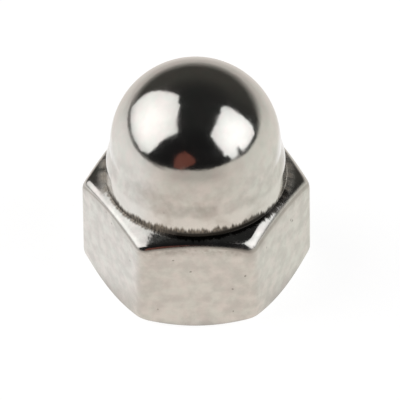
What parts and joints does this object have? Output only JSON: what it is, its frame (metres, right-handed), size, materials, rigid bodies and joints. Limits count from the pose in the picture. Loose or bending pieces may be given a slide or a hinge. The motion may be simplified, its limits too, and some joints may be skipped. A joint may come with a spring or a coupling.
{
  "type": "cap nut",
  "caption": "Domed cap nut: hexagon with a closed, rounded dome above it and a blind threaded hole from below.",
  "frame": {"origin": "centre of the bearing face, where the thread's axis leaves it", "axes": "+Z along the thread's axis, from the bearing face up through the top of the dome; +Y and -Y square to two of the flats, so two corners lie on the X axis"},
  "size_m": [0.0092, 0.008, 0.01],
  "materials": {
    "polished_steel": "barrel-polished stainless steel, mirror bright with faint waviness and pits"
  },
  "bodies": {
    "root": {"cap_nut": "polished_steel"}
  },
  "joints": []
}
